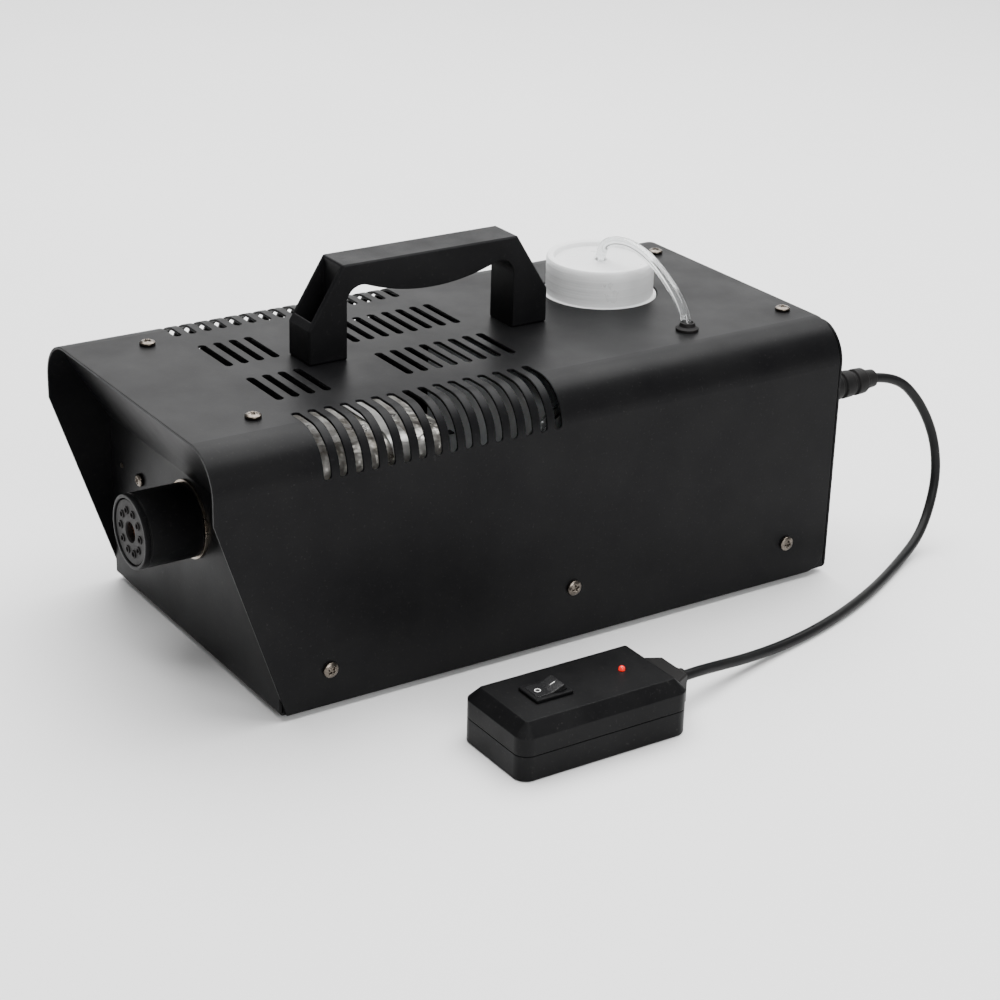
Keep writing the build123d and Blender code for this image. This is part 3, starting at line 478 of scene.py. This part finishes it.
def phillips_head(place, radius, rise, shank, length, spin):
    """Points and faces of one pan head screw: its domed, recessed top, its skirt and its shank."""
    points = []
    faces = []
    rings = 22
    segments = 64
    brim = 0.97  # where the dome ends, as a share of the radius
    low, crown, fall = 0.62, 0.38, 3.2  # height at the brim, what the middle gains, how late it falls
    skirt = ((radius, rise * 0.5), (radius, 0.0), (shank, 0.0), (shank, -length), (0.01, -length))
    for ring in range(rings + 1):
        r = radius * brim * ring / rings
        dome = rise * (low + crown * (1 - (ring / rings) ** fall))
        for k in range(segments):
            angle = 2 * pi * k / segments
            x, y = r * cos(angle), r * sin(angle)
            height = dome - cross_depth(x, y, radius)
            points.append((x, y, height))
    for r, z in skirt:
        for k in range(segments):
            angle = 2 * pi * k / segments
            points.append((r * cos(angle), r * sin(angle), z))
    for ring in range(rings + len(skirt)):
        for k in range(segments):
            a = ring * segments + k
            b = ring * segments + (k + 1) % segments
            faces.append((a, a + segments, b + segments, b))
    turn = place @ Matrix.Rotation(spin, 4, "Z")
    return [turn @ Vector(p) for p in points], faces


def join(points, faces, more, sides):
    """Adds more points, and the faces on them, to a mesh that is being built."""
    faces += [tuple(index + len(points) for index in side) for side in sides]
    points += more


def screws(name, places, radius, rise, shank, length, replaced):
    """One mesh of several of the housing's screws, each given by (place, axis)."""
    first_spin, next_spin = 0.5, 1.13
    points = []
    faces = []
    for i, (place, axis) in enumerate(places):
        spin = first_spin + next_spin * i
        join(points, faces, *phillips_head(facing(place, axis), radius, rise, shank, length, spin))
    add_mesh(name, points, faces, screw_plate, "housing", replaced)


cover_screw = {"radius": 3.75, "rise": 2.3, "shank": 1.9, "length": 8}
screws(
    "top_screws",
    [((x, y, housing_top), (0, 0, 1)) for x in (-53, 53) for y in (-135.3, 159.8)],
    replaced=["top_cover_screws"],
    **cover_screw,
)
screws(
    "side_screws",
    [
        ((side * housing_half, y, z), (side, 0, 0))
        for side in (-1, 1)
        for y, z in ((-116.7, 20.7), (14.7, 29.5), (144.2, 22.9))
    ],
    replaced=["side_cover_screws"],
    **cover_screw,
)
screws(
    "panel_screws",
    [((side * 52.5, -141.5, nozzle_z), (0, -1, 0)) for side in (-1, 1)],
    radius=3.2, rise=2.3, shank=1.9, length=8, replaced=["front_panel_screws"],
)
screws(
    "inlet_screw_heads",
    [((-45 + side * 20, 176, 48), (0, 1, 0)) for side in (-1, 1)],
    radius=2.8, rise=1.5, shank=1.4, length=8, replaced=["inlet_screws"],
)

# Nozzle shroud, filler cap and the cable's strain relief

shroud = [
    (17.7, 0), (17.7, 25.9), (17.15, 25.9), (17.15, 26.7),
    (17.7, 26.7), (17.7, 29.3), (15.9, 29.3), (15.9, 0),
]
points, faces = turned(shroud, facing((0, -142.7, nozzle_z), (0, -1, 0)), radius=0.5)
add_mesh("nozzle_tube", points, faces, tray_paint, "housing", ["nozzle_shroud"])

points, faces = [], []
holes, hole_circle, nozzle_front = 10, 10.2, -171.45
rim = [(1.2, 0), (1.95, 0), (1.9, 0.45), (1.25, 0.45)]
for k in range(holes):
    angle = 2 * pi * k / holes
    spot = facing((hole_circle * cos(angle), nozzle_front, nozzle_z + hole_circle * sin(angle)), (0, -1, 0))
    join(points, faces, *turned(rim, spot, segments=32, radius=0.15))
add_mesh("nozzle_hole_rims", points, faces, nozzle_black, "housing")


def thread(angle, r, z):
    """Faint moulded lines and a thread showing on the outside of the cap's skirt."""
    skirt_radius, skirt_low, skirt_high = 26.5, 133.5, 149
    pitch, thread_rise, line_rise, line_gap = 4.0, 0.07, 0.025, 1.3
    if r < skirt_radius or not skirt_low < z < skirt_high:
        return 0.0
    turn = ((z - pitch * angle / (2 * pi)) / pitch) % 1.0
    return thread_rise * sin(pi * turn) ** 8 + line_rise * sin(2 * pi * z / line_gap)


cap_profile = [
    (2.8, 149.4), (3.6, 149.9), (4.6, 149.4), (22.6, 149.2), (23.7, 151.4), (26.9, 151.5), (27.2, 150.2),
    (27.2, 132.9), (28.9, 132.6), (28.9, 131.2), (27.3, 130.9), (27.3, 129), (25.4, 129), (25.4, 147.5),
    (2.8, 147.5),
]
cap_frame = facing((-16, 97, 0), (0, 0, 1))
points, faces = turned(cap_profile, cap_frame, segments=144, radius=0.35, step=0.3, wobble=thread)
add_mesh("cap", points, faces, cap_plastic, "filler_cap", ["filler_cap"])

relief_profile = [(2.5, -8), (5.9, -8), (5.9, 0), (9.6, 0), (9.6, 2.2), (8.2, 3.0)]
relief_core, relief_taper = 6.5, 0.03
for start in (3.0, 11.4, 19.8):
    core = relief_core - relief_taper * start
    relief_profile += [
        (core + 0.9, start + 0.2),
        (core + 0.6, start + 6.0),
        (core - 0.5, start + 6.4),
        (core - 0.6, start + 8.0),
    ]
relief_profile += [(4.9, 27.8), (4.5, 33), (2.5, 33)]
relief_frame = facing((72.5, rear_panel, 95), (0, 1, 0))
points, faces = turned(relief_profile, relief_frame, segments=96, radius=0.5)
add_mesh("strain_relief", points, faces, black_rubber, "housing", ["cable_relief"])

# Marks on the remote's rocker

rest_tilt = radians(11)
rocker = Matrix.Translation((162, -51.6, 26.1)) @ Matrix.Rotation(rest_tilt, 4, "X")


def on_rocker(along):
    """A frame lying on the rocker's top at this distance from its axis."""
    wing, middle, gain = radians(9.34), 2.4, 0.1644  # each half's slope, height at the axis, rise per mm
    slope = Matrix.Rotation(wing * (1 if along > 0 else -1), 4, "X")
    return rocker @ Matrix.Translation((0, along, middle + gain * abs(along))) @ slope


mark_high, mark_along = 0.07, 3.9
circle = [(1.1, 0.0), (1.45, 0.0), (1.45, mark_high), (1.1, mark_high)]
points, faces = turned(circle, on_rocker(-mark_along), segments=48, radius=0.02)
ends = ((-0.2, -1.4), (0.2, -1.4), (0.2, 1.4), (-0.2, 1.4))
bar = [(x, y, z) for z in (0.0, mark_high) for x, y in ends]
sides = [(3, 2, 1, 0), (4, 5, 6, 7), (0, 1, 5, 4), (1, 2, 6, 5), (2, 3, 7, 6), (3, 0, 4, 7)]
join(points, faces, [on_rocker(mark_along) @ Vector(corner) for corner in bar], sides)
add_mesh("rocker_marks", points, faces, white_print, "rocker")

# Pump spring: a round wire wound along -Y

points, faces = [], []
turns, per_turn, around = 3.5, 30, 10
spring_x, spring_y, spring_z = 58, -72.85, 30
spring_length, coil_radius, wire_radius = 7.7, 4.6, 0.5
rings = int(turns * per_turn)
for step in range(rings + 1):
    angle = 2 * pi * step / per_turn
    along = spring_length * step / rings
    for k in range(around):
        lean = 2 * pi * k / around
        reach = coil_radius + wire_radius * cos(lean)
        across, up = reach * cos(angle), reach * sin(angle)
        points.append((spring_x + across, spring_y - along + wire_radius * sin(lean), spring_z + up))
for step in range(rings):
    for k in range(around):
        a = step * around + k
        b = step * around + (k + 1) % around
        faces.append((a, b, b + around, a + around))
spring = add_mesh("spring", points, faces, zinc, "housing", ["pump_spring"])
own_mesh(spring)

# Stage


def plane(name, size, material):
    """A level square centred on the origin, as part of the stage."""
    mesh = bpy.data.meshes.new(name)
    h = size / 2
    mesh.from_pydata([(-h, -h, 0), (h, -h, 0), (h, h, 0), (-h, h, 0)], [], [(0, 1, 2, 3)])
    mesh.materials.append(material)
    floor = bpy.data.objects.new(name, mesh)
    bpy.context.scene.collection.objects.link(floor)


floor_finish = finish(
    "floor_finish", (0.83, 0.83, 0.83), (0.85, 0.85, 0.85), (0.55, 0.65),
    grain=200, bump=0.02, depth=0.05, cloud=3,
)
plane("floor", 14, floor_finish)


def light(name, place, target, size, power):
    """A rectangular light at place, aimed at target, in metres and watts."""
    data = bpy.data.lights.new(name, "AREA")
    data.shape = "RECTANGLE"
    data.size, data.size_y = size
    data.energy = power
    area = bpy.data.objects.new(name, data)
    area.location = place
    aim = Vector(target) - Vector(place)
    area.rotation_euler = aim.to_track_quat("-Z", "Y").to_euler()
    bpy.context.scene.collection.objects.link(area)


light("key", (-0.3, 0.3, 1.7), (0, 0, 0.05), (2.2, 2.2), 120)
light("back", (-1.9, 1.3, 0.95), (0, 0, 0.1), (2.4, 1.3), 22)
light("fill", (1.7, -0.3, 0.8), (0, 0, 0.1), (1.2, 0.9), 24)
world = bpy.data.worlds.new("world")
world.use_nodes = True
background = world.node_tree.nodes["Background"]
background.inputs["Color"].default_value = (1, 1, 1, 1)
background.inputs["Strength"].default_value = 0.25
bpy.context.scene.world = world

bpy.context.view_layer.update()
